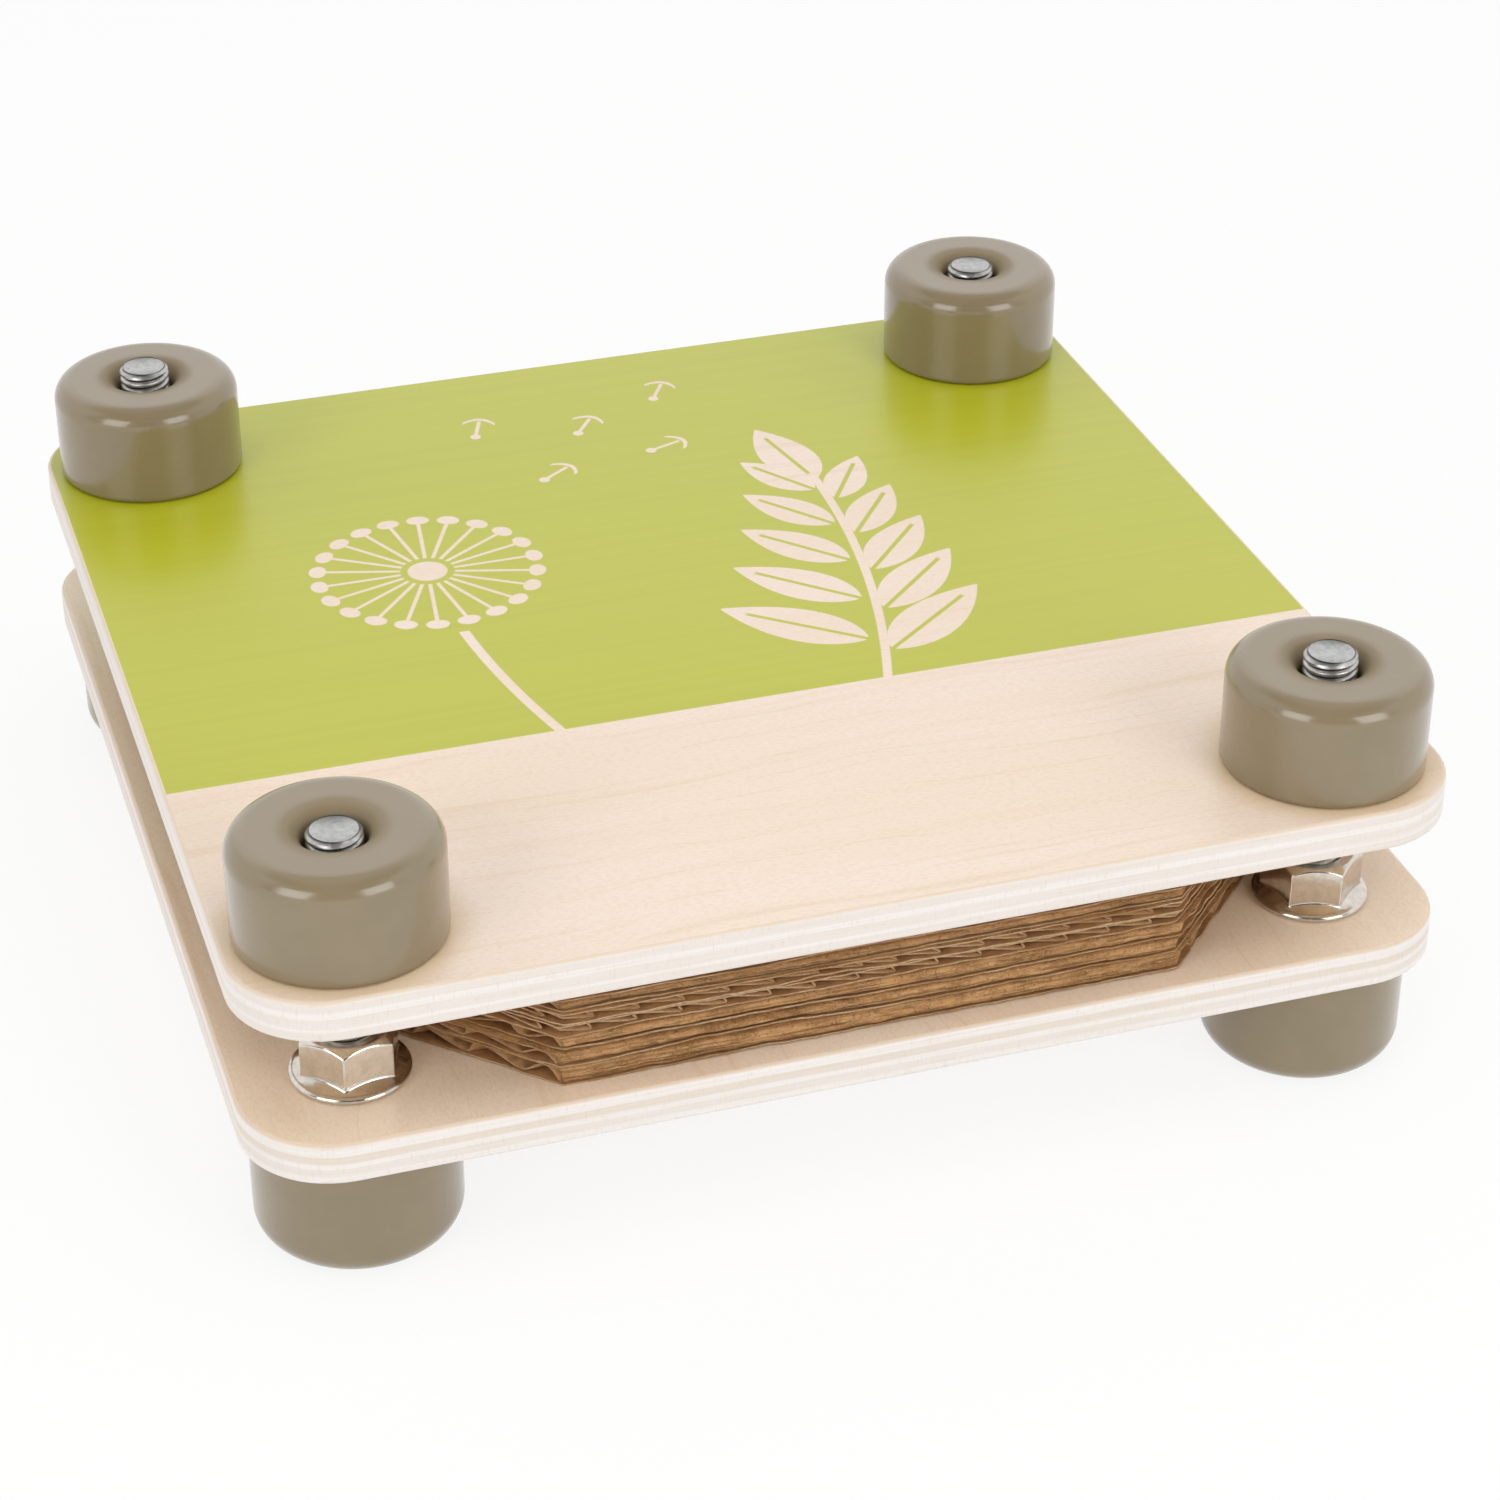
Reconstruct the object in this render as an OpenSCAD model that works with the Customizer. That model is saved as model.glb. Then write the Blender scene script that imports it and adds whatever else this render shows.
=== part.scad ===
// Flower press: two plywood boards on four bolts, a stack of corrugated card between
// them, and four turned wooden knobs that run down the bolts and squeeze the stack.
// Origin: centre of the footprint, on the surface the feet stand on. +Z is up, the bare
// strip of the top board is at -Y.

/* [Boards] */
// Side of the square boards
board_side = 180; // [160:1:200]
// Thickness of each board
board_t = 6.5; // [5:0.5:9]
// Radius of the boards' corners, seen from above
board_corner_r = 14; // [10:1:18]
// Radius that sanding leaves along the boards' edges
board_ease = 0.7; // [0.4:0.1:1.2]
// Distance from the centre to a bolt, along X and along Y
bolt_offset = 73; // [70:0.5:75]
// Diameter of the clearance holes in the top board
lift_hole_d = 9; // [8.6:0.1:10]

/* [Knobs and feet] */
// Diameter of the turned knobs and feet
knob_d = 30; // [26:0.5:32]
// Height of a knob
knob_h = 16.4; // [15:0.1:20]
// Radius of a knob's upper edge
knob_edge_r = 3.3; // [2:0.1:4.5]
// Radius of the dished mouth where the bolt comes out
knob_mouth_r = 2.9; // [1.5:0.1:3]
// Height of a foot
foot_h = 19; // [17:0.5:22]
// Radius of a foot's lower edge
foot_edge_r = 4.2; // [3:0.1:5]
// Radius of the small edge where a knob or a foot meets its board
seat_edge_r = 1; // [0.5:0.1:1.5]

/* [Bolts and nuts] */
// Thread diameter of the bolts, M8
bolt_d = 8; // [8:0.1:8]
// Length of a bolt under its head
bolt_len = 59.6; // [58.5:0.1:60.9]
// Width across the flats of the bolt heads and nuts
wrench = 13; // [12.7:0.1:13]
// Height of a bolt head
head_h = 5.3; // [5:0.1:5.5]
// How deep the bolt heads sit in the feet: front left, front right, back left, back right
head_depth = [5.6, 7.3, 7.6, 6]; // [5.5:0.1:9]
// Height of a flange nut
nut_h = 8; // [7.6:0.1:8]
// Diameter of a nut's flange
flange_d = 17.4; // [16.5:0.1:17.9]
// How each nut was left turned when it was tightened, in degrees
nut_turn = [13, 41, 27, 5]; // [0:1:59]

/* [Corrugated card] */
// Pressed thickness of each sheet, from the bottom one up
card_h = [3, 2.4, 2.5, 2.1, 1.9, 1.6, 3.7]; // [1.6:0.1:4]
// Whether a sheet's flutes run along X, from the bottom sheet up
card_flutes_x = [true, true, true, false, false, true, true]; // [true, false]
// Side of the sheets before their corners are cut
card_side = 172; // [160:1:174]
// Length cut off each corner along both sides, to clear the nuts
card_cut = 40; // [40:1:50]
// Distance from one flute to the next
flute_pitch = 6.5; // [5.5:0.1:8]
// Thickness of the facing papers
liner_t = 0.35; // [0.25:0.05:0.4]
// Thickness of the fluted paper between them
medium_t = 0.25; // [0.2:0.05:0.3]

/* [Hidden] */
CORNERS = ["front_left", "front_right", "back_left", "back_right"];
side_x = [-1, 1, -1, 1];
side_y = [-1, -1, 1, 1];
card_count = len(card_h);

function card_total(n) = n == 0 ? 0 : card_h[n - 1] + card_total(n - 1);

base_top = foot_h + board_t;
top_board_z = base_top + card_total(card_count);
knob_z = top_board_z + board_t;

bolt_r = bolt_d / 2;
// Clearances around a bolt, on the radius
thread_gap = 0.05;
base_gap = 0.1;
mouth_gap = 0.5;
// Bolt end and wrench chamfers
end_chamfer = 0.5;
wrench_chamfer = 0.9;
flange_t = 1.2;
flange_slope = 1.5;
wrench_gap = 0.1;

// Threaded insert, pressed into the knob from below
insert_r = 6;
insert_len = 12;
insert_collar_r = 7.5;
insert_collar_t = 1.2;

// Flute wave: points on one flute, and how far its crests are glued into the liners
wave_steps = 10;
glue_depth = 0.12;

wood = "#efdfcb";
print_green = "#cdd07c";
lacquer = "#8f8470";
card_colour = "#a98661";
nickel = "#c9c8c4";
steel = "#b9babb";

// Moves what it holds to the bolt axis of corner i
module at_corner(i, z = 0) {
    translate([side_x[i] * bolt_offset, side_y[i] * bolt_offset, z])
        children();
}

// Half section of a board at its edge: a bar whose outer corners are eased
module eased_edge(width) {
    square([width - board_ease, board_t]);
    translate([0, board_ease])
        square([width, board_t - 2 * board_ease]);
    for (z = [board_ease, board_t - board_ease])
        translate([width - board_ease, z])
            circle(board_ease, $fn = 48);
}

// Square board with round corners and eased edges, from z = 0 up
module board_blank() {
    inner = board_side / 2 - board_corner_r;
    translate([-inner, -inner, 0])
        cube([2 * inner, 2 * inner, board_t]);
    for (turn = [0 : 90 : 270])
        rotate([0, 0, turn]) {
            translate([inner, inner, 0])
                rotate_extrude(angle = 90, $fn = 96)
                    eased_edge(board_corner_r);
            translate([inner, inner, 0])
                rotate([90, 0, 0])
                    linear_extrude(2 * inner)
                        eased_edge(board_corner_r);
        }
}

module board(z, hole_r) {
    difference() {
        translate([0, 0, z])
            board_blank();
        for (i = [0 : 3])
            at_corner(i, z - 1)
                cylinder(r = hole_r, h = board_t + 2, $fn = 64);
    }
}

module bottom_board() {
    color(wood)
        board(foot_h, bolt_r + base_gap);
}

module top_board() {
    color(print_green)
        board(top_board_z, lift_hole_d / 2);
}

// Half section of a turned post: upper edge of radius upper_r, lower edge of radius lower_r
module post_profile(r, h, upper_r, lower_r) {
    inner = r - max(upper_r, lower_r);
    square([inner, h]);
    translate([0, lower_r])
        square([r, h - upper_r - lower_r]);
    square([r - lower_r, h / 2]);
    translate([0, h / 2])
        square([r - upper_r, h / 2]);
    translate([r - lower_r, lower_r])
        circle(lower_r, $fn = 64);
    translate([r - upper_r, h - upper_r])
        circle(upper_r, $fn = 64);
}

// Foot: a turned post, bored for the bolt and with a hexagon pocket for its head
module foot(i) {
    color(lacquer)
        difference() {
            at_corner(i)
                rotate_extrude($fn = 128)
                    post_profile(knob_d / 2, foot_h, seat_edge_r, foot_edge_r);
            at_corner(i, -1)
                cylinder(r = bolt_r + base_gap, h = foot_h + 2, $fn = 64);
            at_corner(i, -1)
                wrench_prism(head_depth[i] + 1, wrench + 2 * wrench_gap);
        }
}

// Hexagonal prism of a given width across its flats
module wrench_prism(h, flats) {
    cylinder(r = flats / 2 / cos(30), h = h, $fn = 6);
}

// Hexagonal prism with its upper corners turned off at 30 degrees
module wrench_block(h) {
    corner_r = wrench / 2 / cos(30);
    chamfer_h = wrench_chamfer * tan(30) * 1.4;
    intersection() {
        wrench_prism(h, wrench);
        rotate_extrude($fn = 96)
            polygon([
                [0, 0],
                [corner_r + 0.2, 0],
                [corner_r + 0.2, h - chamfer_h],
                [corner_r + 0.2 - 2 * wrench_chamfer, h],
                [0, h]
            ]);
    }
}

// Bolt: hexagon head below, plain shank, end turned to a short cone
module bolt(i) {
    z = head_depth[i];
    color(steel) {
        at_corner(i, z)
            rotate([180, 0, 0])
                wrench_block(head_h);
        at_corner(i, z - head_h / 2)
            cylinder(r = bolt_r, h = head_h / 2 + bolt_len - end_chamfer, $fn = 64);
        at_corner(i, z + bolt_len - end_chamfer)
            cylinder(r1 = bolt_r, r2 = bolt_r - end_chamfer, h = end_chamfer, $fn = 64);
    }
}

// Flange nut: hexagon on a dished round flange, bored for the bolt, mouth countersunk
module flange_nut(i) {
    flange_r = flange_d / 2;
    edge_r = flange_t / 2;
    bore = bolt_r + thread_gap;
    color(nickel)
        at_corner(i, base_top)
            rotate([0, 0, nut_turn[i]])
                difference() {
                    union() {
                        wrench_block(nut_h);
                        rotate_extrude($fn = 96) {
                            square([flange_r - edge_r, flange_t]);
                            translate([flange_r - edge_r, edge_r])
                                circle(edge_r, $fn = 32);
                            polygon([
                                [0, edge_r],
                                [flange_r - edge_r, flange_t],
                                [wrench / 2 - 1, flange_t + flange_slope],
                                [0, flange_t + flange_slope]
                            ]);
                        }
                    }
                    translate([0, 0, -1])
                        cylinder(r = bore, h = nut_h + 2, $fn = 64);
                    translate([0, 0, nut_h - end_chamfer])
                        cylinder(r1 = bore, r2 = bore + 2 * end_chamfer, h = 2 * end_chamfer, $fn = 64);
                }
}

// Height of the flute wave's middle line at x, and its slope there
function wave_z(x, rise) = rise * cos(360 * x / flute_pitch);
function wave_slope(x, rise) = -rise * 2 * PI / flute_pitch * sin(360 * x / flute_pitch);

// A point set off from the wave by d along its normal
function wave_point(x, rise, d) =
    let (slope = wave_slope(x, rise), n = sqrt(1 + slope * slope))
    [x - d * slope / n, wave_z(x, rise) + d / n];

// End view of the fluted paper of a sheet h high, crests sunk into both liners
module medium_section(h) {
    crest = h / 2 - liner_t - medium_t / 2 + glue_depth;
    rise = crest / cos(180 / wave_steps);
    step = flute_pitch / wave_steps;
    last = ceil(card_side / 2 / step) - 0.5;
    xs = [for (k = [-last : 1 : last]) k * step];
    polygon(concat(
        [for (x = xs) wave_point(x, rise, medium_t / 2)],
        [for (k = [len(xs) - 1 : -1 : 0]) wave_point(xs[k], rise, -medium_t / 2)]
    ));
}

// Sheet of a given height: a square with its four corners cut at 45 degrees
module card_blank(h) {
    half = card_side / 2;
    cut = half - card_cut;
    linear_extrude(h)
        polygon([
            [-cut, -half], [cut, -half], [half, -cut], [half, cut],
            [cut, half], [-cut, half], [-half, cut], [-half, -cut]
        ]);
}

// Corrugated sheet: a liner, the fluted paper glued to it, and the second liner
module card_sheet(k) {
    h = card_h[k];
    color(card_colour)
        translate([0, 0, base_top + card_total(k)]) {
            card_blank(liner_t);
            translate([0, 0, h - liner_t])
                card_blank(liner_t);
            intersection() {
                card_blank(h);
                rotate([0, 0, card_flutes_x[k] ? 90 : 0])
                    translate([0, card_side / 2 + 1, h / 2])
                        rotate([90, 0, 0])
                            linear_extrude(card_side + 2)
                                medium_section(h);
            }
        }
}

// Knob: a turned post with a dished mouth on top, bored from below for its insert
module knob(i) {
    mouth = bolt_r + mouth_gap;
    color(lacquer)
        at_corner(i, knob_z)
            rotate_extrude($fn = 128)
                difference() {
                    post_profile(knob_d / 2, knob_h, knob_edge_r, seat_edge_r);
                    translate([0, -1])
                        square([mouth, knob_h + 2]);
                    translate([0, -1])
                        square([insert_r, insert_len + 1]);
                    translate([0, -1])
                        square([insert_collar_r, insert_collar_t + 1]);
                    difference() {
                        translate([0, knob_h - knob_mouth_r])
                            square([mouth + knob_mouth_r, knob_mouth_r + 1]);
                        translate([mouth + knob_mouth_r, knob_h - knob_mouth_r])
                            circle(knob_mouth_r, $fn = 64);
                    }
                }
}

// Insert: a threaded bush with a collar, flush with the knob's underside
module knob_insert(i) {
    bore = bolt_r + thread_gap;
    color(nickel)
        at_corner(i, knob_z)
            rotate_extrude($fn = 96)
                difference() {
                    union() {
                        square([insert_r, insert_len]);
                        square([insert_collar_r, insert_collar_t]);
                    }
                    translate([0, -1])
                        square([bore, insert_len + 2]);
                }
}

bottom_board();
top_board();
for (i = [0 : 3]) {
    foot(i);
    bolt(i);
    flange_nut(i);
    knob(i);
    knob_insert(i);
}
for (k = [0 : card_count - 1])
    card_sheet(k);
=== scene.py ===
import math

import bmesh
import bpy
from mathutils import Matrix, Vector, noise


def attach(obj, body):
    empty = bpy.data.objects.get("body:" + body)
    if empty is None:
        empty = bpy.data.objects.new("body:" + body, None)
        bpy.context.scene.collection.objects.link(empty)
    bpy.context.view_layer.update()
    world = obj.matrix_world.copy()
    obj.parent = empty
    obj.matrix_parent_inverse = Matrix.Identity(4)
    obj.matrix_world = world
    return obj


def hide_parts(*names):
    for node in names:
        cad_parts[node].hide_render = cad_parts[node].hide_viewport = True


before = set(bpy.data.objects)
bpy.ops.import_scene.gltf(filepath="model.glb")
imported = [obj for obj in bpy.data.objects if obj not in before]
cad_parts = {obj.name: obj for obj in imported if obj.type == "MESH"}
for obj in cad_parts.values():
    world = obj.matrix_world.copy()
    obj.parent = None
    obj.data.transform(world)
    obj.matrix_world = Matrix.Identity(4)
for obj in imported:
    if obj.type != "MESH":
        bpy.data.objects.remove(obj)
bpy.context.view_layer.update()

# Bottom board: five-ply light plywood, sanded round and left bare. Its outer veneers run
# front to back. The bolts stand in it, and everything else is stacked on it.


class Wire:
    """One output of a shader node, which Python's operators can work with."""

    def __init__(self, tree, socket=None):
        self.tree, self.socket = tree, socket

    def node(self, kind, settings=None, sockets=None, output=0):
        """Adds a node: its settings first, then the values or links of its sockets."""
        made = self.tree.nodes.new(kind)
        for name, value in (settings or {}).items():
            if name == "stops":
                ramp = made.color_ramp
                while len(ramp.elements) < len(value):
                    ramp.elements.new(0.5)
                for element, (position, code) in zip(ramp.elements, value):
                    element.position, element.color = position, code
            else:
                setattr(made, name, value)
        for name, value in (sockets or {}).items():
            if isinstance(value, Wire):
                self.tree.links.new(value.socket, made.inputs[name])
            else:
                made.inputs[name].default_value = value
        return Wire(self.tree, made.outputs[output])

    def maths(self, operation, *values, clamp=False):
        return self.node("ShaderNodeMath", {"operation": operation, "use_clamp": clamp},
                         dict(enumerate(values)))

    def __add__(self, other): return self.maths("ADD", self, other)
    def __radd__(self, other): return self.maths("ADD", other, self)
    def __sub__(self, other): return self.maths("SUBTRACT", self, other)
    def __rsub__(self, other): return self.maths("SUBTRACT", other, self)
    def __mul__(self, other): return self.maths("MULTIPLY", self, other)
    def __rmul__(self, other): return self.maths("MULTIPLY", other, self)
    def __truediv__(self, other): return self.maths("DIVIDE", self, other)
    def __rtruediv__(self, other): return self.maths("DIVIDE", other, self)
    def __pow__(self, other): return self.maths("POWER", self, other)
    def __abs__(self): return self.maths("ABSOLUTE", self)
    def __or__(self, other): return self.maths("MAXIMUM", self, other)

    def step(self, low, high):
        """0 below low, 1 above high, smooth between; high may be the lower number."""
        return self.node("ShaderNodeMapRange", {"interpolation_type": "SMOOTHSTEP"},
                         {"Value": self, "From Min": low, "From Max": high})

    def cloud(self, size, detail=2.0, rough=0.5, shift=(0, 0, 0)):
        """Noise from 0 to 1 on this vector in mm, whose blobs are size = (x, y, z) mm."""
        placed = self.node("ShaderNodeMapping", None, {
            "Vector": self, "Location": shift, "Scale": [1 / s for s in size]})
        return self.node("ShaderNodeTexNoise", None, {
            "Vector": placed, "Scale": 1.0, "Detail": detail, "Roughness": rough})

    def mix(self, first, second):
        """The two colours mixed by this factor."""
        return self.node("ShaderNodeMix", {"data_type": "RGBA"},
                         {"Factor": self, 6: first, 7: second}, output=2)

    def split(self, axis):
        return self.node("ShaderNodeSeparateXYZ", None, {"Vector": self}, output="XYZ".index(axis))


def colour(code):
    """Linear colour of an sRGB code such as f3e2d3."""
    parts = [int(code[i:i + 2], 16) / 255 for i in (0, 2, 4)]
    return [p / 12.92 if p <= 0.04045 else ((p + 0.055) / 1.055) ** 2.4 for p in parts] + [1.0]


def finish(name, constants=None):
    """A new material: returns it, its shader's node and a Wire of the place in mm."""
    material = bpy.data.materials.new(name)
    material.use_nodes = True
    tree = material.node_tree
    shader = next(n for n in tree.nodes if n.type == "BSDF_PRINCIPLED")
    for socket, value in (constants or {}).items():
        shader.inputs[socket].default_value = value
    start = Wire(tree)
    place = start.node("ShaderNodeTexCoord", output="Object")
    place = start.node("ShaderNodeVectorMath", {"operation": "SCALE"},
                       {"Vector": place, "Scale": 1000.0})
    return material, shader, place


def feed(shader, socket, wire):
    wire.tree.links.new(wire.socket, shader.inputs[socket])


def bump(shader, height, depth):
    """Bump from a height of 0 to 1 that stands for depth mm."""
    feed(shader, "Normal", height.node("ShaderNodeBump", None, {
        "Height": height, "Distance": depth / 1000, "Strength": 1.0}))


def facing_up(place):
    """1 where a surface faces up, 0 where it stands upright, -1 where it faces down."""
    return place.node("ShaderNodeTexCoord", output="Normal").split("Z")


def span(piece, axis="Z"):
    """Lowest and highest point of a CAD piece along an axis, in mm."""
    places = [vert.co["XYZ".index(axis)] * 1000 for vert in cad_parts[piece].data.vertices]
    return round(min(places), 3), round(max(places), 3)


def dress(piece, material):
    """Gives a CAD piece this material alone."""
    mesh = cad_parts[piece].data
    mesh.materials.clear()
    mesh.materials.append(material)


base_low, base_top = span("bottom_board")
board_t = base_top - base_low
pale_ply, tan_ply, warm_ply = "ebe6e2", "e4ddd6", "e0d6ca"


def veneer(place, along, top_z, tone, plies):
    """Colour and relief of plywood with its faces' grain along x or y. Each ply is given
    by the depth where it ends, as a share of the thickness, and its colour."""
    x, y, z = (place.split(axis) for axis in "XYZ")
    up = facing_up(place)

    def stretch(length, width):
        return (length, width, 8) if along == "x" else (width, length, 8)

    wander = place.cloud(stretch(60, 26), 2.0, 0.55) * 16.0
    across = (y if along == "x" else x) + wander
    growth = across.node("ShaderNodeTexNoise", {"noise_dimensions": "1D"}, {
        "W": across, "Scale": 0.075, "Detail": 1.0}) * 6.0
    line = abs(growth - growth.maths("ROUND", growth)).step(0.06, 0.0)
    streak = place.cloud(stretch(70, 3.4), 3.0, 0.6)
    shade = place.cloud(stretch(160, 24), 1.0, 0.5, (7, 3, 0))
    fleck = place.cloud(stretch(1.5, 0.28), 1.0, 0.5).step(0.60, 0.74)
    fibre = place.cloud(stretch(9, 0.16), 2.0, 0.6)
    face = shade.step(0.3, 0.7).mix(colour(tone[0]), colour(tone[1]))
    face = (streak.step(0.46, 0.76) * 0.18).mix(face, colour(tone[2]))
    face = (line * streak.step(0.38, 0.62) * 0.24).mix(face, colour(tone[3]))
    speckle = place.cloud(stretch(0.9, 0.45), 2.0, 0.6, (2, 4, 6)).step(0.42, 0.68)
    marks = fleck * 0.14 + fibre.step(0.45, 0.8) * 0.08 + speckle * 0.20
    face = marks.mix(face, colour(tone[3]))
    depth = (top_z - z) / board_t
    waved = depth + (place.cloud((16, 16, 60), 3.0, 0.6) - 0.5) * 0.06
    starts = [0.0] + [end for end, code in plies]
    stops = [(at, colour(code)) for start, (end, code) in zip(starts, plies)
             for at in (start + 0.02, end - 0.02)]
    edge_tint = waved.node("ShaderNodeValToRGB", {"stops": stops}, {"Fac": waved})
    pore = place.cloud((0.35, 0.35, 1.6), 2.0, 0.6, (3, 9, 1)).step(0.52, 0.75)
    ribbon = place.cloud((22, 22, 0.22), 2.0, 0.6)
    fuzz = pore * 0.34 + ribbon.step(0.42, 0.72) * 0.28
    edge_tint = fuzz.mix(edge_tint, colour("d6c5b2"))
    arris = up.step(0.25, 0.80)
    edge_tint = (arris * 0.7).mix(edge_tint, colour("e0c9ae"))
    top = abs(up).step(0.90, 0.975)
    return top.mix(edge_tint, face), top, fibre * 0.6 + fleck * 0.4


board, shader, place = finish("bare plywood", {"Coat Roughness": 0.30, "Specular IOR Level": 0.2})
# The bottom board's tones are lighter than the top board's: painted light making up for the shade
# under the top board.
tones = ("f8e7d3", "f5e1c9", "ebd2b3", "dbb98f")
plies = ((0.27, pale_ply), (0.46, warm_ply), (0.59, pale_ply), (0.78, tan_ply), (1.0, pale_ply))
tint, top, relief = veneer(place, "y", base_top, tones, plies)
feed(shader, "Base Color", tint)
feed(shader, "Roughness", place.cloud((3, 3, 3)) * 0.10 - top * 0.08 + 0.42)
feed(shader, "Coat Weight", top * 0.8)
bump(shader, relief, 0.02)
dress("bottom_board", board)

# Top board: the same plywood with its grain from side to side. The back of its face is
# printed in green with a satin sheen; a leafy twig, a seed head and a bare strip at the
# front are left as wood. Round each knob the wood carries a ring of painted shade.


def leaf(x, y, foot, angle, length, width):
    """Mask of a leaf from its foot along angle, with a bare midrib left printed."""
    c, s = math.cos(math.radians(angle)), math.sin(math.radians(angle))
    along = ((x - foot[0]) * c + (y - foot[1]) * s) / length
    aside = abs((y - foot[1]) * c - (x - foot[0]) * s)
    inside = along.maths("MULTIPLY", along, 1.0, clamp=True) ** 0.8
    belly = inside * (1 - inside) * (4.0 * width)
    blade = (belly - aside).step(-0.12, 0.12)
    rib = aside.step(0.28, 0.48) | along.step(0.80, 0.84)
    return blade * rib * along.step(0.0, 0.02) * along.step(1.0, 0.98)


def disc(x, y, centre, radius):
    """Mask of a round dot."""
    away = ((x - centre[0]) ** 2.0 + (y - centre[1]) ** 2.0) ** 0.5
    return away.step(radius + 0.12, radius - 0.12)


def from_bolt(place):
    """Distance from the nearest of the four bolts' axes."""
    x, y = abs(place.split("X")) - bolt_offset, abs(place.split("Y")) - bolt_offset
    return (x ** 2.0 + y ** 2.0) ** 0.5


def seed_head(x, y, centre, radius, count):
    """Mask of a round seed head: fine spokes, each with a small parachute at its end."""
    dx, dy = x - centre[0], y - centre[1]
    away = (dx * dx + dy * dy) ** 0.5
    turn = dx.maths("ARCTAN2", dy, dx) * (count / math.tau)
    cell = turn - turn.maths("ROUND", turn)
    aside = abs(cell * away * (math.tau / count))
    spoke = aside.step(0.42, 0.22) * away.step(4.2, 4.5) * away.step(radius, radius - 0.3)
    tuft = (aside * aside * 0.55 + (away - radius) * (away - radius)) ** 0.5
    return spoke | tuft.step(1.5, 1.25) | away.step(3.3, 3.05)


bolt_offset = sum(span("foot_front_right", "X")) / 2
print_edge_y = -31.8
printed, shader, place = finish("printed plywood", {
    "Coat Roughness": 0.26, "Specular IOR Level": 0.2})
tones = ("f2dfcf", "efdac6", "e5caab", "d9b88e")
plies = ((0.27, tan_ply), (0.42, pale_ply), (0.665, tan_ply), (0.75, pale_ply), (1.0, tan_ply))
tint, top, relief = veneer(place, "x", span("top_board")[1], tones, plies)
x, y = place.split("X"), place.split("Y")
# The twig: a bent stem with a leaf at its tip and five pairs that grow smaller upwards
twig_x, twig_y = 31.0, 33.0
motifs = leaf(x, y, (twig_x, twig_y + 0.5), 101, 21, 4.6)
stem = abs(x - twig_x + ((y - twig_y) * 0.05) ** 2.0).step(0.85, 0.6) * y.step(36.0, 35.6)
motifs = motifs | stem
for row in range(5):
    foot_y = -24.0 + row * 12.5
    foot_x = twig_x - ((foot_y - twig_y) * 0.05) ** 2
    long, wide = 25.0 - row * 2.3, 4.9 - row * 0.35
    motifs = motifs | leaf(x, y, (foot_x + 1.2, foot_y), 38 + row * 5, long, wide)
    motifs = motifs | leaf(x, y, (foot_x - 1.2, foot_y + 4.0), 140 - row * 4, long, wide)
# The seed head on its stalk, and five seeds that have flown off
head_x, head_y = -38.0, 22.0
motifs = motifs | seed_head(x, y, (head_x, head_y), 17.5, 22)
stalk = abs(x - head_x - ((y - head_y + 4.0) * 0.06) ** 2.0 * 0.8).step(0.95, 0.7)
motifs = motifs | stalk * y.step(1.5, 1.1)
seeds = ((-12, 47, 35), (-2, 62, 55), (8, 52, 20), (14, 71, 60), (-19, 66, 70))
for seed_x, seed_y, angle in seeds:
    dx, dy = math.cos(math.radians(angle)), math.sin(math.radians(angle))
    along = (x - seed_x) * dx + (y - seed_y) * dy
    aside = abs((y - seed_y) * dx - (x - seed_x) * dy)
    thread = aside.step(0.42, 0.22) * along.step(0.0, 0.2) * along.step(6.0, 5.8)
    bow = abs(along + aside * aside * 0.22 - 6.6).step(0.50, 0.32) * aside.step(2.9, 2.6)
    motifs = motifs | disc(x, y, (seed_x, seed_y), 0.9) | thread | bow
# Round each knob the face is painted warmer and darker: painted shade of the knob.
tint = (from_bolt(place).step(19.5, 14.5) * top * 0.55).mix(tint, colour("e2c28f"))
ink = y.step(print_edge_y - 0.10, print_edge_y + 0.10) * (1 - motifs)
ink = ink * abs(facing_up(place)).step(0.965, 0.99)
grain = place.cloud((120, 1.6, 4), 3.0, 0.6)
green = grain.step(0.35, 0.75).mix(colour("babc1f"), colour("b7b91d"))
green = (place.cloud((0.25, 0.25, 0.25), 2.0).step(0.62, 0.8) * 0.10).mix(green, colour("8f9a1c"))
feed(shader, "Base Color", ink.mix(tint, green))
feed(shader, "Roughness", place.cloud((3, 3, 3)) * 0.08 - ink * 0.08 + 0.40)
feed(shader, "Coat Weight", top * 0.95)
bump(shader, relief * (1 - ink * 0.6), 0.03)
dress("top_board", printed)

# Feet and knobs: turned hardwood sprayed with a taupe lacquer, which has levelled into a
# slight orange peel and lies thinner in the knob's mouth, where the bolt comes through.
lacquer, shader, place = finish("taupe lacquer", {
    "Coat Roughness": 0.16, "Coat IOR": 1.6, "Specular IOR Level": 0.25})
cloudy = place.cloud((9, 9, 9), 2.0)
speck = place.cloud((0.30, 0.30, 0.30), 2.0, 0.6).step(0.66, 0.80)
tint = cloudy.step(0.3, 0.7).mix(colour("88795d"), colour("837458"))
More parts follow.
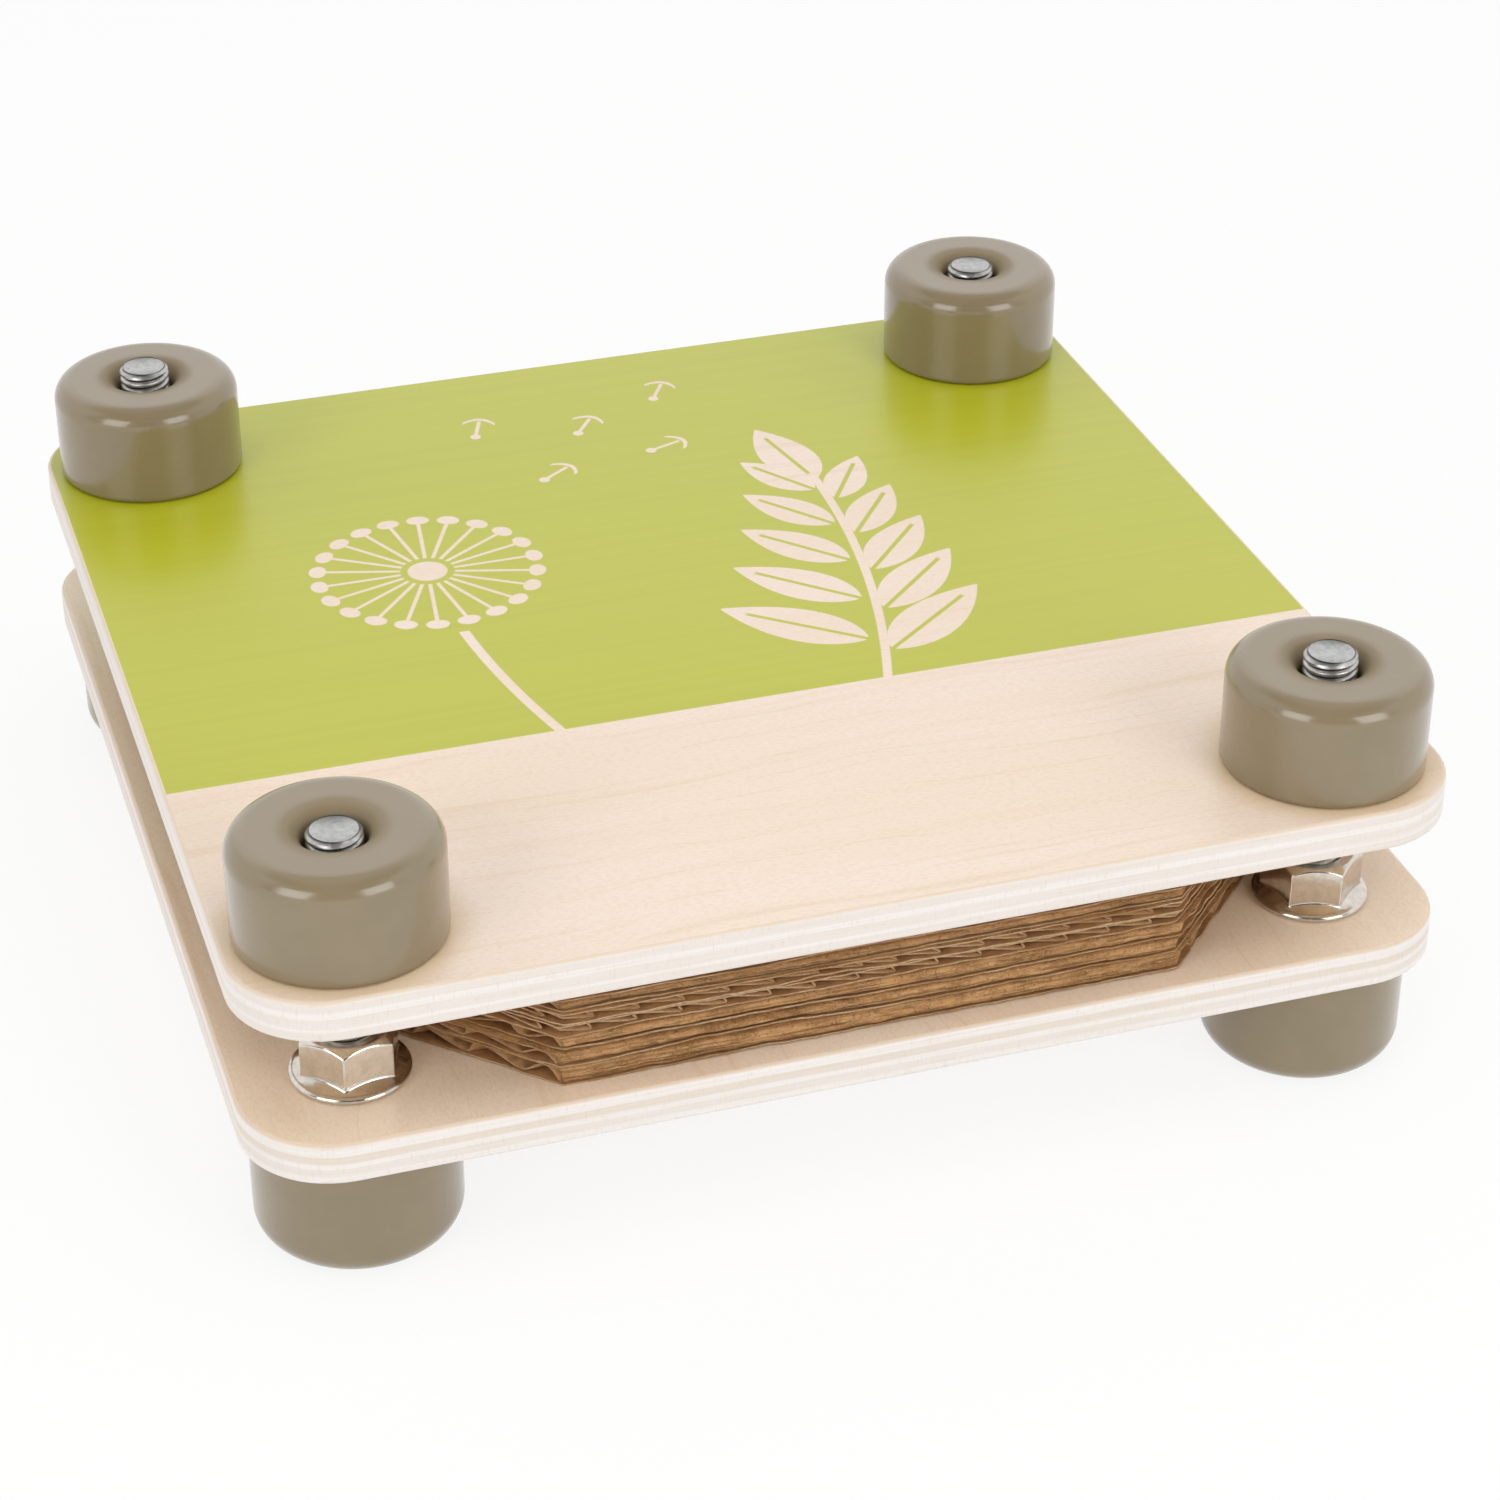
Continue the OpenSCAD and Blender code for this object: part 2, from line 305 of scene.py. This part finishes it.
# Faces turned up are painted lighter: a painted sheen of the light from above.
tint = facing_up(place).step(0.80, 0.98).mix(tint, colour("8f8169"))
feed(shader, "Base Color", (speck * 0.10).mix(tint, colour("6d604a")))
mouth = from_bolt(place).step(8.6, 6.4)
feed(shader, "Roughness", cloudy * 0.08 + mouth * 0.25 + 0.30)
feed(shader, "Coat Weight", (cloudy * 0.2 + 0.8) * (1 - mouth))
peel = place.cloud((0.9, 0.9, 0.9), 2.0, 0.5) * 0.8 + place.cloud((6, 6, 0.5), 1.0) * 0.2
bump(shader, peel, 0.03)
CORNERS = ("front_left", "front_right", "back_left", "back_right")
for corner in CORNERS:
    dress("foot_" + corner, lacquer)
    dress("knob_" + corner, lacquer)

# Bolts: steel M8 bolts with rolled threads. Each hexagon head sits in a pocket under its
# foot, and the bolt passes up through the board, the nut and its knob.


def rings(bm, shape):
    """Adds a skin round Z through rings of (radius, height); each may depend on the angle."""
    circle = bmesh.ops.create_circle(bm, segments=96, radius=1.0)
    loop = list(dict.fromkeys(e for v in circle["verts"] for e in v.link_edges))
    for index, (radius, height) in enumerate(shape):
        if index:
            grown = bmesh.ops.extrude_edge_only(bm, edges=loop)["geom"]
            loop = [g for g in grown if isinstance(g, bmesh.types.BMEdge)]
        for vert in {v for e in loop for v in e.verts}:
            turn = math.atan2(vert.co.y, vert.co.x)
            r = radius(turn) if callable(radius) else radius
            h = height(turn) if callable(height) else height
            vert.co = (r * math.cos(turn), r * math.sin(turn), h)


def add_piece(name, bm, body, materials, angle=35.0):
    """Makes an object of a bmesh in mm and lets it ride on a body."""
    bmesh.ops.scale(bm, vec=(0.001, 0.001, 0.001), verts=bm.verts)
    mesh = bpy.data.meshes.new(name)
    bm.to_mesh(mesh)
    bm.free()
    mesh.shade_smooth()
    mesh.set_sharp_from_angle(angle=math.radians(angle))
    piece = bpy.data.objects.new(name, mesh)
    bpy.context.scene.collection.objects.link(piece)
    for material in materials:
        mesh.materials.append(material)
    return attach(piece, body)


def hexagon(turn):
    """Radius of the bolt head's and the nut's hexagon at an angle, with a corner at angle 0."""
    return hex_half / math.cos(turn % math.radians(60) - math.radians(30))


steel, shader, place = finish("bolt steel", {"Metallic": 1.0})
turned = place.cloud((0.8, 0.8, 0.8), 3.0, 0.6)
nick = place.cloud((0.35, 1.6, 0.35), 2.0, 0.6).step(0.62, 0.72)
tint = turned.step(0.3, 0.7).mix(colour("cfcfcd"), colour("bcbcba"))
tint = (nick * 0.35).mix(tint, colour("9b9a98"))
radius = from_bolt(place)
# The thread roots are darkened: painted shade in the grooves between the crests.
root_shade = radius.step(3.65, 3.42) * radius.step(3.25, 3.38)
feed(shader, "Base Color", (root_shade * 0.8).mix(tint, colour("4a4744")))
feed(shader, "Roughness", turned * 0.14 + nick * 0.10 + 0.29)
bump(shader, turned * 0.7 + nick * -0.3, 0.04)

hex_half, pitch, steps = 6.5, 1.25, 48
crest_r, flank_r, root_r, end_r = 4.0, 3.9, 3.34, 3.4
profile = ((root_r, 0.0), (root_r, 0.10), (flank_r, 0.36), (crest_r, 0.50), (crest_r, 0.80),
           (flank_r, 0.96), (root_r, pitch))
bolt_low, bolt_top = span("bolt_front_left")
head_h, dimple = 5.3, 0.35
bolt_len = bolt_top - bolt_low - head_h
bm = bmesh.new()
line = [bm.verts.new((r, 0.0, z - pitch)) for r, z in profile]
for a, b in zip(line, line[1:]):
    bm.edges.new((a, b))
bmesh.ops.spin(bm, geom=bm.verts[:] + bm.edges[:], axis=(0, 0, 1), cent=(0, 0, 0),
               dvec=(0, 0, pitch / steps), angle=math.tau, steps=steps)
one_turn = bm.verts[:] + bm.edges[:] + bm.faces[:]
for count in range(1, math.ceil(bolt_len / pitch) + 2):
    copied = bmesh.ops.duplicate(bm, geom=one_turn)["geom"]
    bmesh.ops.translate(bm, vec=(0, 0, pitch * count),
                        verts=[g for g in copied if isinstance(g, bmesh.types.BMVert)])
bmesh.ops.remove_doubles(bm, verts=bm.verts, dist=0.01)
for vert in bm.verts:
    reach = math.hypot(vert.co.x, vert.co.y)
    most = end_r + max(0.0, bolt_len - vert.co.z)
    if reach > most:
        vert.co.xy *= most / reach
for height, side in ((bolt_len, 1), (-1.0, -1)):
    cut = bmesh.ops.bisect_plane(bm, geom=bm.verts[:] + bm.edges[:] + bm.faces[:],
                                 plane_co=(0, 0, height), plane_no=(0, 0, side),
                                 clear_outer=True)
    rim = [g for g in cut["geom_cut"] if isinstance(g, bmesh.types.BMEdge)]
    bmesh.ops.edgeloop_fill(bm, edges=rim)
cap = [f for f in bm.faces if all(abs(v.co.z - bolt_len) < 1e-4 for v in f.verts)]
bmesh.ops.inset_region(bm, faces=cap, thickness=0.18, depth=0.10)
rings(bm, [(3.0, 0.0), (hexagon, 0.0),
           (hexagon, lambda turn: 0.45 - head_h + (hexagon(turn) - hex_half) * 0.62),
           (6.1, -head_h), (3.9, -head_h), (3.4, dimple - head_h), (0.02, dimple - head_h)])
bmesh.ops.recalc_face_normals(bm, faces=bm.faces)
plain_bolt = bpy.data.meshes.new("bolt")
bm.to_mesh(plain_bolt)
bm.free()
places = [Vector((x, y, 0)) for y in (-bolt_offset, bolt_offset)
          for x in (-bolt_offset, bolt_offset)]
for corner, place in zip(CORNERS, places):
    head_top = span("bolt_" + corner)[0] + head_h
    bm = bmesh.new()
    bm.from_mesh(plain_bolt)
    bmesh.ops.translate(bm, vec=place + Vector((0, 0, head_top)), verts=bm.verts)
    bolt = add_piece("threaded_bolt_" + corner, bm, "base", [steel])
    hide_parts("bolt_" + corner)

# Flange nuts: nickel-plated M8 nuts, each with a hexagon on a dished round flange. They
# are run down on the bolts and clamp the bottom board on its feet.
nickel, shader, place = finish("nickel plate", {"Metallic": 1.0})
haze = place.cloud((1.4, 1.4, 1.4), 3.0, 0.6)
pit = place.cloud((0.22, 0.22, 0.22), 1.0).step(0.68, 0.78)
feed(shader, "Base Color", haze.step(0.3, 0.7).mix(colour("e2dcd3"), colour("d3ccc2")))
feed(shader, "Roughness", haze * 0.08 + pit * 0.05 + 0.12)
bump(shader, haze * 0.8 + pit * -0.4, 0.035)


def flange_top(turn):
    """Height of the sloping flange where the hexagon meets it."""
    return 1.2 + (8.2 - hexagon(turn)) * 0.58


def shoulder(turn):
    """Height of the hexagon's top edge, which is turned off at its corners."""
    return nut_h - 0.25 - (hexagon(turn) - 6.3) * 0.75


bore_r, flange_r, nut_h, sink = 4.06, 8.7, 8.0, 0.7
nut_shape = [(bore_r, 0.6), (bore_r + 0.64, 0.0), (8.05, 0.0), (8.5, 0.12), (flange_r, 0.5),
             (flange_r - 0.06, 0.85), (8.3, 1.12), (7.9, 1.22), (hexagon, flange_top),
             (hexagon, shoulder), (6.15, nut_h), (bore_r + 0.69, nut_h),
             (bore_r, nut_h - sink), (bore_r, 0.6)]
nut_angles = (13, 41, 27, 5)
for corner, place, angle in zip(CORNERS, places, nut_angles):
    bm = bmesh.new()
    rings(bm, nut_shape)
    bmesh.ops.remove_doubles(bm, verts=bm.verts, dist=0.002)
    bmesh.ops.recalc_face_normals(bm, faces=bm.faces)
    bmesh.ops.rotate(bm, verts=bm.verts, cent=(0, 0, 0),
                     matrix=Matrix.Rotation(math.radians(angle), 3, "Z"))
    bmesh.ops.translate(bm, vec=place + Vector((0, 0, base_top)), verts=bm.verts)
    nut = add_piece("plated_nut_" + corner, bm, "base", [nickel], angle=24.0)
    rounding = nut.modifiers.new("worn edges", "BEVEL")
    rounding.width, rounding.segments = 0.00022, 3
    rounding.limit_method, rounding.angle_limit = "ANGLE", math.radians(24)
    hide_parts("flange_nut_" + corner)

# Threaded inserts: plated bushes pressed into the knobs from below. They carry the bolt
# thread, and only their collars show when a knob is taken off.
for corner in CORNERS:
    dress("knob_insert_" + corner, nickel)

# Card sheets: brown corrugated card, each a fluted paper glued between two liners. The
# seven sheets are cut at the corners to clear the nuts. The knife has rolled the upper liner
# down along the flutes, and the press has crushed the edges, some nearly flat.
kraft, shader, place = finish("kraft paper", {"Specular IOR Level": 0.2})
upright = 1 - abs(facing_up(place))
mottle = place.cloud((4, 4, 1.5), 3.0, 0.6)
# Thin dark streaks along the upright cut faces: partly the paper's layered texture, partly painted
# shade of the gaps between layers.
streaks_and_gap_shade = place.cloud((12, 12, 0.28), 3.0, 0.65).step(0.50, 0.66) * upright
rib = place.cloud((0.4, 0.4, 3.0), 2.0, 0.6) * upright
strand = place.cloud((1.8, 0.25, 0.25), 2.0, 0.6) | place.cloud((0.25, 1.8, 0.25), 2.0, 0.6)
grit = place.cloud((0.5, 0.5, 0.4), 2.0, 0.6).step(0.54, 0.74)
# Large darker patches on the upright cut faces.
dark_patches = place.cloud((22, 22, 3.5), 3.0, 0.6, (4, 1, 8)).step(0.40, 0.66)
tint = mottle.step(0.3, 0.7).mix(colour("c79865"), colour("9d7347"))
tint = (dark_patches * upright * 0.60).mix(tint, colour("7b5734"))
# The upper sheets' upright faces are painted greyer and darker: painted shade under the top board.
shade_under_board = place.split("Z").step(36.5, 39.0)
tint = (shade_under_board * upright * 0.55).mix(tint, colour("93785a"))
tint = (strand.step(0.50, 0.72) * 0.55).mix(tint, colour("d0ad82"))
tint = (streaks_and_gap_shade * 0.62 | grit * 0.45 | rib.step(0.52, 0.72) * 0.50).mix(tint, colour("5f4024"))
fluff = place.cloud((0.7, 0.7, 0.35), 1.0, 0.5, (5, 5, 5)).step(0.79, 0.82)
feed(shader, "Base Color", (fluff * 0.7).mix(tint, colour("e6d6bd")))
feed(shader, "Roughness", mottle * 0.1 + 0.80)
bump(shader, strand * 0.4 + grit * 0.3 + rib * 0.6 - streaks_and_gap_shade * 0.7, 0.26)
torn, shader, place = finish("cut paper edge", {"Specular IOR Level": 0.2})
fray = place.cloud((0.6, 0.6, 0.2), 3.0, 0.7)
pale_joint = abs(place.split("Z") - span("card_sheet_4")[1]).step(0.6, 0.3)
worn = place.cloud((9, 9, 1.5), 2.0, 0.6).step(0.35, 0.65) | pale_joint
tint = worn.mix(colour("aa845a"), colour("c8ac88"))
feed(shader, "Base Color", (fray.step(0.35, 0.65) * 0.5).mix(tint, colour("80603c")))
feed(shader, "Roughness", fray * 0.1 + 0.80)
bump(shader, fray, 0.10)
fluting, shader, place = finish("fluting paper", {"Specular IOR Level": 0.2})
mottle = place.cloud((2, 2, 1), 3.0, 0.6)
feed(shader, "Base Color", mottle.step(0.3, 0.7).mix(colour("bf9263"), colour("a27953")))
feed(shader, "Roughness", mottle * 0.1 + 0.80)
bump(shader, mottle, 0.08)

half, corner_cut, paper, flute = span("card_sheet_1", "X")[1], 40.0, 0.26, 6.5
slant = (2 * half - corner_cut) / math.sqrt(2)
crushed_w, crushed_corner_w, rolled_w, first_flute, gap = 5.0, 3.0, 0.6, 1.1, 0.01
wave_cells, length_cells, side_cuts = 318, 86, 120
ring_widths = (0.04, 0.06, 0.09, 0.12, 0.14, 0.15, 0.6, 1.3, 2.5)
# Of each sheet: whether its flutes run along x, how far they lean, how much its rim is
# crushed, how far the fluted paper stays behind the liners, how much of the height the
# upper liner is rolled down along the flutes, and the sheet's offset, all lengths in mm
sheet_facts = ((True, 1.6, 0.24, 0.5, 0.97, (0.1, 0.0)),
               (True, 2.0, 0.34, 0.5, 0.90, (-0.3, 0.1)),
               (True, -1.6, 0.34, 0.5, 0.94, (0.5, 0.3)),
               (False, -3.0, 0.14, 0.5, 0.60, (-0.2, 0.4)),
               (False, -3.9, 0.04, 0.6, 0.60, (0.2, 0.1)),
               (True, 0.6, 0.12, 0.4, 0.95, (0.4, 0.5)),
               (True, 1.0, 0.24, 0.4, 0.92, (-0.1, 0.3)))


def liner_levels(x, y, height, along_x, crush, rolled, seed):
    """Heights of the lower and the upper liner's middles, from the sheet's middle."""
    side = min(half - abs(x), half - abs(y))
    corner = slant - (abs(x) + abs(y)) / math.sqrt(2)
    rim = max(max(0.0, 1 - side / crushed_w) ** 2,
              0.5 * max(0.0, 1 - corner / crushed_corner_w) ** 2)
    lump = noise.noise(Vector((x * 0.035, y * 0.035, seed)))
    knock = noise.noise(Vector((x * 0.25, y * 0.25, seed + 7)))
    loss = rim * crush * (0.9 + 0.9 * lump + 0.3 * knock)
    shift = rim * (0.24 * lump + 0.09 * knock)
    lift = rim * max(0.0, noise.noise(Vector((x * 0.07, y * 0.07, seed + 11))) - 0.12) * 1.1
    lift = min(lift, height * 0.2)
    away = max(0.0, min(1.0, (half - abs(y if along_x else x)) / rolled_w))
    wander = 1 + 0.10 * noise.noise(Vector((x * 0.06, y * 0.06, seed + 3)))
    low = paper / 2 - height / 2 + gap + loss + shift + lift
    high = height / 2 - paper / 2 - gap - loss + shift
    drop = min(0.99, rolled * wander) * (high - low - 2.1 * paper)
    return low, high - drop * (1 - math.sqrt(max(0.0, 1 - (1 - away) ** 2)))


def cut_outline(bm, inset=0.0):
    """Cuts a sheet's four straight sides and four corners, a little inside its outline."""
    for eighth in range(8):
        turn, reach = math.tau * eighth / 8, (slant if eighth % 2 else half) - inset
        out = Vector((math.cos(turn), math.sin(turn), 0))
        bmesh.ops.bisect_plane(bm, geom=bm.verts[:] + bm.edges[:] + bm.faces[:],
                               plane_co=out * reach, plane_no=out, clear_outer=True)


for index, (along_x, lean, crush, inset, rolled, offset) in enumerate(sheet_facts):
    name = f"card_sheet_{index + 1}"
    low_z, high_z = span(name)
    mid, seed, tuck = (low_z + high_z) / 2, index * 3.7, inset + 0.5
    shape = (high_z - low_z, along_x, crush, rolled, seed)
    bm = bmesh.new()
    # Fluted paper: a wave that turns up steeply at its first flute, at both ends
    bmesh.ops.create_grid(bm, x_segments=wave_cells, y_segments=length_cells, size=half)
    for vert in bm.verts:
        s, t = vert.co.x, vert.co.y
        inside = half - tuck - abs(s)
        phase = (math.pi * max(0.0, inside) / first_flute if inside < first_flute
                 else math.pi + math.tau * (inside - first_flute) / flute)
        level = -math.cos(phase) * (1 + 0.08 * noise.noise(Vector((s * 0.3, t * 0.05, seed))))
        rise = (level + 1) / 2
        skew = lean * rise * max(0.0, min(1.0, inside / 8.0))
        s = max(tuck - half, min(half - tuck, s))
        wave = Vector((t, s + skew, 0.0)) if along_x else Vector((s + skew, t, 0.0))
        low, high = liner_levels(wave.x, wave.y, *shape)
        wave.z = mid + low + paper + (high - low - 2 * paper) * min(1.0, max(0.0, rise))
        vert.co = wave
    cut_outline(bm, inset)
    for face in bm.faces:
        face.material_index = 2
    # Liners: sheets with closer and closer rings towards the edge, which is rolled and frayed
    for upper in (False, True):
        liner = bmesh.new()
        bmesh.ops.create_grid(liner, x_segments=1, y_segments=1, size=half)
        cut_outline(liner)
        bmesh.ops.dissolve_limit(liner, angle_limit=0.01, verts=liner.verts, edges=liner.edges)
        for width in ring_widths:
            inner = [max(liner.faces, key=lambda f: f.calc_area())]
            bmesh.ops.inset_region(liner, faces=inner, thickness=width, use_boundary=True,
                                   use_even_offset=True)
        sides = [e for e in liner.edges if e.calc_length() > 10]
        bmesh.ops.subdivide_edges(liner, edges=sides, cuts=side_cuts)
        for vert in liner.verts:
            x, y = vert.co.x, vert.co.y
            vert.co.z = mid + liner_levels(x, y, *shape)[upper]
            wrinkle = noise.noise(Vector((x * 0.9, y * 0.9, seed + upper)))
            fray = noise.noise(Vector((x * 0.4, y * 0.4, seed + 5 * upper)))
            vert.co.xy *= 1 - max(0.0, 0.12 + 0.10 * wrinkle + 0.20 * fray) / half
        if not upper:
            bmesh.ops.reverse_faces(liner, faces=liner.faces)
        joined = bpy.data.meshes.new("liner")
        liner.to_mesh(joined)
        liner.free()
        bm.from_mesh(joined)
        bpy.data.meshes.remove(joined)
    bmesh.ops.translate(bm, vec=(*offset, 0), verts=bm.verts)
    sheet = add_piece(f"fluted_card_{index + 1}", bm, name,
                      [kraft, torn, fluting, torn, fluting], 60.0)
    thick = sheet.modifiers.new("paper", "SOLIDIFY")
    thick.thickness, thick.offset = paper / 1000, 0.0
    thick.material_offset, thick.material_offset_rim = 2, 1
    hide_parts(name)

# Floor: a plain pale table that runs out of view. The camera and reflections see it nearly
# white, and it keeps the soft shadow of the press.
table_half, table_top = 3000, -0.02
bm = bmesh.new()
bmesh.ops.create_grid(bm, x_segments=8, y_segments=8, size=table_half)
bmesh.ops.translate(bm, vec=(0, 0, table_top), verts=bm.verts)
bmesh.ops.scale(bm, vec=(0.001, 0.001, 0.001), verts=bm.verts)
mesh = bpy.data.meshes.new("table")
bm.to_mesh(mesh)
bm.free()
table = bpy.data.objects.new("table", mesh)
bpy.context.scene.collection.objects.link(table)
white, shader, place = finish("white table", {"Roughness": 0.9, "Specular IOR Level": 0.0})
feed(shader, "Base Color", place.cloud((400, 400, 400)).mix(colour("f7f6f5"), colour("faf9f8")))
seen = place.node("ShaderNodeLightPath", output="Is Camera Ray")
seen = seen | place.node("ShaderNodeLightPath", output="Is Glossy Ray")
seen = seen | place.node("ShaderNodeLightPath", output="Is Transmission Ray")
glow = place.node("ShaderNodeEmission", None, {"Color": (1, 1, 1, 1), "Strength": 1.0})
diffuse = Wire(place.tree, shader.outputs[0])
both = place.node("ShaderNodeMixShader", None, {0: seen * 0.86, 1: diffuse, 2: glow})
output = next(n for n in place.tree.nodes if n.type == "OUTPUT_MATERIAL")
place.tree.links.new(both.socket, output.inputs["Surface"])
table.data.materials.append(white)

# Light: a white studio whose ceiling and front, where the camera stands, are dark to
# reflections, with two soft boxes low at the press's front corners and one above it.
world = bpy.data.worlds.new("studio")
bpy.context.scene.world = world
world.use_nodes = True
tree = world.node_tree
start = Wire(tree)
camera_ray = start.node("ShaderNodeLightPath", output="Is Camera Ray")
sky = start.node("ShaderNodeTexCoord", output="Generated")
camera_side = (-0.31, -0.95, 0.0)
front = start.node("ShaderNodeVectorMath", {"operation": "DOT_PRODUCT"},
                   {0: sky, 1: camera_side}, output="Value")
height = sky.split("Z")
dark = height.step(0.70, 0.88) | (front.step(0.1, 0.5) * height.step(0.05, 0.20))
backdrop = next(n for n in tree.nodes if n.type == "BACKGROUND")
backdrop.inputs["Color"].default_value = (1, 1, 1, 1)
level = camera_ray + (1 - camera_ray) * (1 - dark * 0.88)
tree.links.new(level.socket, backdrop.inputs["Strength"])


def softbox(name, azimuth, elevation, away, size, watts, mirrored=True):
    """Lamp aimed at the press, in reflections too or not; azimuth 0 is in front of it."""
    a, e = math.radians(azimuth), math.radians(elevation)
    aim = Vector((math.sin(a) * math.cos(e), -math.cos(a) * math.cos(e), math.sin(e)))
    lamp = bpy.data.lights.new(name, "AREA")
    lamp.shape, lamp.size, lamp.size_y, lamp.energy = "RECTANGLE", size[0], size[1], watts
    holder = bpy.data.objects.new(name, lamp)
    holder.location = aim * away + Vector((0, 0, 0.03))
    holder.rotation_euler = aim.to_track_quat("Z", "Y").to_euler()
    holder.visible_glossy = mirrored
    bpy.context.scene.collection.objects.link(holder)


softbox("left soft box", -55, 24, 1.3, (0.66, 0.70), 5.4)
softbox("right soft box", 26, 24, 1.3, (0.66, 0.70), 5.4)
softbox("overhead", 10, 82, 1.5, (1.2, 1.2), 9.0, False)

# Camera: the photograph's place and lens, found by fitting the boards' edges, the knobs and
# the feet. It looks down on the front of the press, from a little to the left.
azimuth, elevation, distance = math.radians(-17.833), math.radians(31.336), 0.596821
target = Vector((0.008805, 0.0, 0.019914))
back = Vector((math.sin(azimuth) * math.cos(elevation),
               -math.cos(azimuth) * math.cos(elevation), math.sin(elevation)))
view = bpy.data.cameras.new("camera")
view.sensor_width, view.lens, view.clip_start = 36.0, 88.6058, 0.01
camera = bpy.data.objects.new("camera", view)
camera.location = target + back * distance
camera.rotation_euler = back.to_track_quat("Z", "Y").to_euler()
bpy.context.scene.collection.objects.link(camera)
bpy.context.scene.camera = camera
bpy.context.scene.view_settings.view_transform = "Standard"
